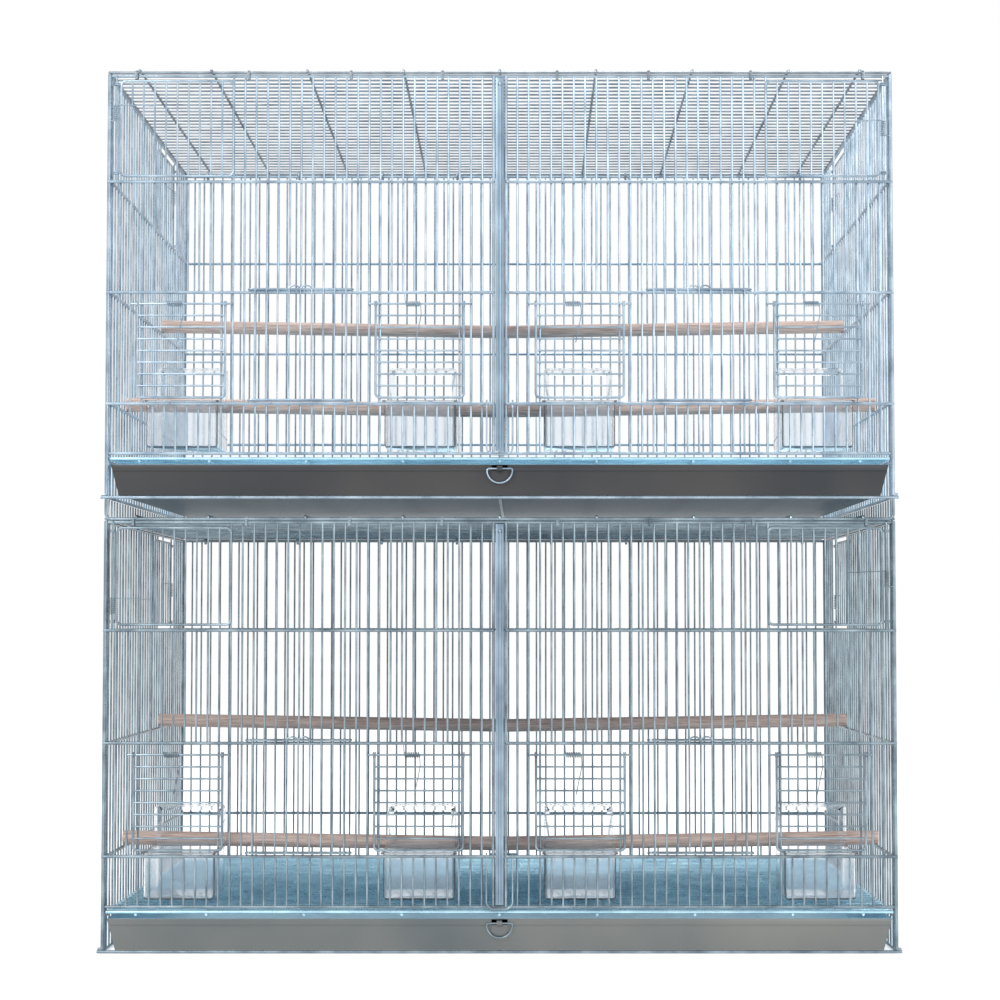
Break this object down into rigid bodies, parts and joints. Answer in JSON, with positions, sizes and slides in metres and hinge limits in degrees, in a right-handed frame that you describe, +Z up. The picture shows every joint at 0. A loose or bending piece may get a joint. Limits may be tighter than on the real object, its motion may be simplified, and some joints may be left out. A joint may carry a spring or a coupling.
{
  "type": "canary breeding cage",
  "caption": "Stack of wire breeding cages for small birds with sprung feeder and nest doors, lifting doors, pull-out floor and tray, feeder cups and perches.",
  "frame": {"origin": "middle of the stack's footprint, on the floor", "axes": "+Z up, front faces -Y, +X to the right seen from the front"},
  "size_m": [0.7704, 0.4607, 0.8539],
  "materials": {
    "galvanised_wire": "bright galvanised, slightly bluish",
    "tray_steel": "galvanised sheet, dull grey",
    "divider_sheet": "galvanised sheet",
    "clear_plastic": "clear moulded plastic",
    "perch_wood": "plain turned wood"
  },
  "bodies": {
    "lower_cage": {"lower_front_panel": "galvanised_wire", "lower_back_panel": "galvanised_wire", "lower_left_side_panel": "galvanised_wire", "lower_right_side_panel": "galvanised_wire", "lower_top_panel": "galvanised_wire", "lower_tray_runner": "galvanised_wire", "lower_feeder_cup_left_inner": "clear_plastic", "lower_feeder_cup_left_outer": "clear_plastic", "lower_feeder_cup_right_inner": "clear_plastic", "lower_feeder_cup_right_outer": "clear_plastic", "lower_upper_perch_left": "perch_wood", "lower_lower_perch_left": "perch_wood", "lower_upper_perch_right": "perch_wood", "lower_lower_perch_right": "perch_wood"},
    "lower_feeder_door_left_inner": {"lower_feeder_door_left_inner": "galvanised_wire"},
    "lower_feeder_door_left_outer": {"lower_feeder_door_left_outer": "galvanised_wire"},
    "lower_entry_door_left": {"lower_entry_door_left": "galvanised_wire"},
    "lower_front_nest_door_left": {"lower_front_nest_door_left": "galvanised_wire"},
    "lower_side_nest_door_left": {"lower_side_nest_door_left": "galvanised_wire"},
    "lower_feeder_door_right_inner": {"lower_feeder_door_right_inner": "galvanised_wire"},
    "lower_feeder_door_right_outer": {"lower_feeder_door_right_outer": "galvanised_wire"},
    "lower_entry_door_right": {"lower_entry_door_right": "galvanised_wire"},
    "lower_front_nest_door_right": {"lower_front_nest_door_right": "galvanised_wire"},
    "lower_side_nest_door_right": {"lower_side_nest_door_right": "galvanised_wire"},
    "lower_tray": {"lower_tray": "tray_steel"},
    "lower_tray_pull_ring": {"lower_tray_pull_ring": "galvanised_wire"},
    "lower_floor_grille": {"lower_floor_grille": "galvanised_wire"},
    "lower_divider": {"lower_divider": "divider_sheet"},
    "lower_tray_latch": {"lower_tray_latch": "galvanised_wire"},
    "upper_cage": {"upper_front_panel": "galvanised_wire", "upper_back_panel": "galvanised_wire", "upper_left_side_panel": "galvanised_wire", "upper_right_side_panel": "galvanised_wire", "upper_top_panel": "galvanised_wire", "upper_tray_runner": "galvanised_wire", "upper_feeder_cup_left_inner": "clear_plastic", "upper_feeder_cup_left_outer": "clear_plastic", "upper_feeder_cup_right_inner": "clear_plastic", "upper_feeder_cup_right_outer": "clear_plastic", "upper_upper_perch_left": "perch_wood", "upper_lower_perch_left": "perch_wood", "upper_upper_perch_right": "perch_wood", "upper_lower_perch_right": "perch_wood"},
    "upper_feeder_door_left_inner": {"upper_feeder_door_left_inner": "galvanised_wire"},
    "upper_feeder_door_left_outer": {"upper_feeder_door_left_outer": "galvanised_wire"},
    "upper_entry_door_left": {"upper_entry_door_left": "galvanised_wire"},
    "upper_front_nest_door_left": {"upper_front_nest_door_left": "galvanised_wire"},
    "upper_side_nest_door_left": {"upper_side_nest_door_left": "galvanised_wire"},
    "upper_feeder_door_right_inner": {"upper_feeder_door_right_inner": "galvanised_wire"},
    "upper_feeder_door_right_outer": {"upper_feeder_door_right_outer": "galvanised_wire"},
    "upper_entry_door_right": {"upper_entry_door_right": "galvanised_wire"},
    "upper_front_nest_door_right": {"upper_front_nest_door_right": "galvanised_wire"},
    "upper_side_nest_door_right": {"upper_side_nest_door_right": "galvanised_wire"},
    "upper_tray": {"upper_tray": "tray_steel"},
    "upper_tray_pull_ring": {"upper_tray_pull_ring": "galvanised_wire"},
    "upper_floor_grille": {"upper_floor_grille": "galvanised_wire"},
    "upper_divider": {"upper_divider": "divider_sheet"},
    "upper_tray_latch": {"upper_tray_latch": "galvanised_wire"}
  },
  "joints": [
    {"name": "lower_feeder_door_left_inner_swing", "type": "hinge", "parent": "lower_cage", "child": "lower_feeder_door_left_inner", "pos_m": [-0.07735, -0.2275, 0.1889], "axis": [-1, 0, 0], "range_deg": [0, 100], "stiffness_Nm_per_rad": 0.03, "springref_deg": -34.38},
    {"name": "lower_feeder_door_left_outer_swing", "type": "hinge", "parent": "lower_cage", "child": "lower_feeder_door_left_outer", "pos_m": [-0.30786, -0.2275, 0.1889], "axis": [-1, 0, 0], "range_deg": [0, 100], "stiffness_Nm_per_rad": 0.03, "springref_deg": -34.38},
    {"name": "lower_entry_door_left_travel", "type": "slide", "parent": "lower_cage", "child": "lower_entry_door_left", "axis": [0, 0, 1], "range_m": [0, 0.1]},
    {"name": "lower_front_nest_door_left_swing", "type": "hinge", "parent": "lower_cage", "child": "lower_front_nest_door_left", "pos_m": [-0.372, -0.2274, 0.36], "axis": [0, 0, -1], "range_deg": [0, 100], "stiffness_Nm_per_rad": 0.02, "springref_deg": -34.38},
    {"name": "lower_side_nest_door_left_swing", "type": "hinge", "parent": "lower_cage", "child": "lower_side_nest_door_left", "pos_m": [-0.3824, 0.1585, 0.36], "axis": [0, 0, -1], "range_deg": [0, 100], "stiffness_Nm_per_rad": 0.02, "springref_deg": -34.38},
    {"name": "lower_feeder_door_right_inner_swing", "type": "hinge", "parent": "lower_cage", "child": "lower_feeder_door_right_inner", "pos_m": [0.07735, -0.2275, 0.1889], "axis": [-1, 0, 0], "range_deg": [0, 100], "stiffness_Nm_per_rad": 0.03, "springref_deg": -34.38},
    {"name": "lower_feeder_door_right_outer_swing", "type": "hinge", "parent": "lower_cage", "child": "lower_feeder_door_right_outer", "pos_m": [0.30786, -0.2275, 0.1889], "axis": [-1, 0, 0], "range_deg": [0, 100], "stiffness_Nm_per_rad": 0.03, "springref_deg": -34.38},
    {"name": "lower_entry_door_right_travel", "type": "slide", "parent": "lower_cage", "child": "lower_entry_door_right", "axis": [0, 0, 1], "range_m": [0, 0.1]},
    {"name": "lower_front_nest_door_right_swing", "type": "hinge", "parent": "lower_cage", "child": "lower_front_nest_door_right", "pos_m": [0.372, -0.2274, 0.36], "axis": [0, 0, 1], "range_deg": [0, 100], "stiffness_Nm_per_rad": 0.02, "springref_deg": -34.38},
    {"name": "lower_side_nest_door_right_swing", "type": "hinge", "parent": "lower_cage", "child": "lower_side_nest_door_right", "pos_m": [0.3824, 0.1585, 0.36], "axis": [0, 0, 1], "range_deg": [0, 100], "stiffness_Nm_per_rad": 0.02, "springref_deg": -34.38},
    {"name": "lower_tray_travel", "type": "slide", "parent": "lower_cage", "child": "lower_tray", "axis": [0, -1, 0], "range_m": [0, 0.38]},
    {"name": "lower_tray_pull_ring_swing", "type": "hinge", "parent": "lower_tray", "child": "lower_tray_pull_ring", "pos_m": [0, -0.22935, 0.029], "axis": [-1, 0, 0], "range_deg": [0, 100]},
    {"name": "lower_floor_grille_travel", "type": "slide", "parent": "lower_cage", "child": "lower_floor_grille", "axis": [0, -1, 0], "range_m": [0, 0.38]},
    {"name": "lower_divider_travel", "type": "slide", "parent": "lower_cage", "child": "lower_divider", "axis": [0, -1, 0], "range_m": [0, 0.4]},
    {"name": "lower_tray_latch_swing", "type": "hinge", "parent": "lower_cage", "child": "lower_tray_latch", "pos_m": [0, -0.227, 0.092], "axis": [1, 0, 0], "range_deg": [-100, 0]},
    {"name": "upper_cage_lift", "type": "slide", "parent": "lower_cage", "child": "upper_cage", "axis": [0, 0, 1], "range_m": [0, 0.1]},
    {"name": "upper_feeder_door_left_inner_swing", "type": "hinge", "parent": "upper_cage", "child": "upper_feeder_door_left_inner", "pos_m": [-0.07735, -0.2275, 0.6235], "axis": [-1, 0, 0], "range_deg": [0, 100], "stiffness_Nm_per_rad": 0.03, "springref_deg": -34.38},
    {"name": "upper_feeder_door_left_outer_swing", "type": "hinge", "parent": "upper_cage", "child": "upper_feeder_door_left_outer", "pos_m": [-0.30786, -0.2275, 0.6235], "axis": [-1, 0, 0], "range_deg": [0, 100], "stiffness_Nm_per_rad": 0.03, "springref_deg": -34.38},
    {"name": "upper_entry_door_left_travel", "type": "slide", "parent": "upper_cage", "child": "upper_entry_door_left", "axis": [0, 0, 1], "range_m": [0, 0.1]},
    {"name": "upper_front_nest_door_left_swing", "type": "hinge", "parent": "upper_cage", "child": "upper_front_nest_door_left", "pos_m": [-0.372, -0.2274, 0.7946], "axis": [0, 0, -1], "range_deg": [0, 100], "stiffness_Nm_per_rad": 0.02, "springref_deg": -34.38},
    {"name": "upper_side_nest_door_left_swing", "type": "hinge", "parent": "upper_cage", "child": "upper_side_nest_door_left", "pos_m": [-0.3824, 0.1585, 0.7946], "axis": [0, 0, -1], "range_deg": [0, 100], "stiffness_Nm_per_rad": 0.02, "springref_deg": -34.38},
    {"name": "upper_feeder_door_right_inner_swing", "type": "hinge", "parent": "upper_cage", "child": "upper_feeder_door_right_inner", "pos_m": [0.07735, -0.2275, 0.6235], "axis": [-1, 0, 0], "range_deg": [0, 100], "stiffness_Nm_per_rad": 0.03, "springref_deg": -34.38},
    {"name": "upper_feeder_door_right_outer_swing", "type": "hinge", "parent": "upper_cage", "child": "upper_feeder_door_right_outer", "pos_m": [0.30786, -0.2275, 0.6235], "axis": [-1, 0, 0], "range_deg": [0, 100], "stiffness_Nm_per_rad": 0.03, "springref_deg": -34.38},
    {"name": "upper_entry_door_right_travel", "type": "slide", "parent": "upper_cage", "child": "upper_entry_door_right", "axis": [0, 0, 1], "range_m": [0, 0.1]},
    {"name": "upper_front_nest_door_right_swing", "type": "hinge", "parent": "upper_cage", "child": "upper_front_nest_door_right", "pos_m": [0.372, -0.2274, 0.7946], "axis": [0, 0, 1], "range_deg": [0, 100], "stiffness_Nm_per_rad": 0.02, "springref_deg": -34.38},
    {"name": "upper_side_nest_door_right_swing", "type": "hinge", "parent": "upper_cage", "child": "upper_side_nest_door_right", "pos_m": [0.3824, 0.1585, 0.7946], "axis": [0, 0, 1], "range_deg": [0, 100], "stiffness_Nm_per_rad": 0.02, "springref_deg": -34.38},
    {"name": "upper_tray_travel", "type": "slide", "parent": "upper_cage", "child": "upper_tray", "axis": [0, -1, 0], "range_m": [0, 0.38]},
    {"name": "upper_tray_pull_ring_swing", "type": "hinge", "parent": "upper_tray", "child": "upper_tray_pull_ring", "pos_m": [0, -0.22935, 0.4636], "axis": [-1, 0, 0], "range_deg": [0, 100]},
    {"name": "upper_floor_grille_travel", "type": "slide", "parent": "upper_cage", "child": "upper_floor_grille", "axis": [0, -1, 0], "range_m": [0, 0.38]},
    {"name": "upper_divider_travel", "type": "slide", "parent": "upper_cage", "child": "upper_divider", "axis": [0, -1, 0], "range_m": [0, 0.4]},
    {"name": "upper_tray_latch_swing", "type": "hinge", "parent": "upper_cage", "child": "upper_tray_latch", "pos_m": [0, -0.227, 0.5266], "axis": [1, 0, 0], "range_deg": [-100, 0]}
  ]
}
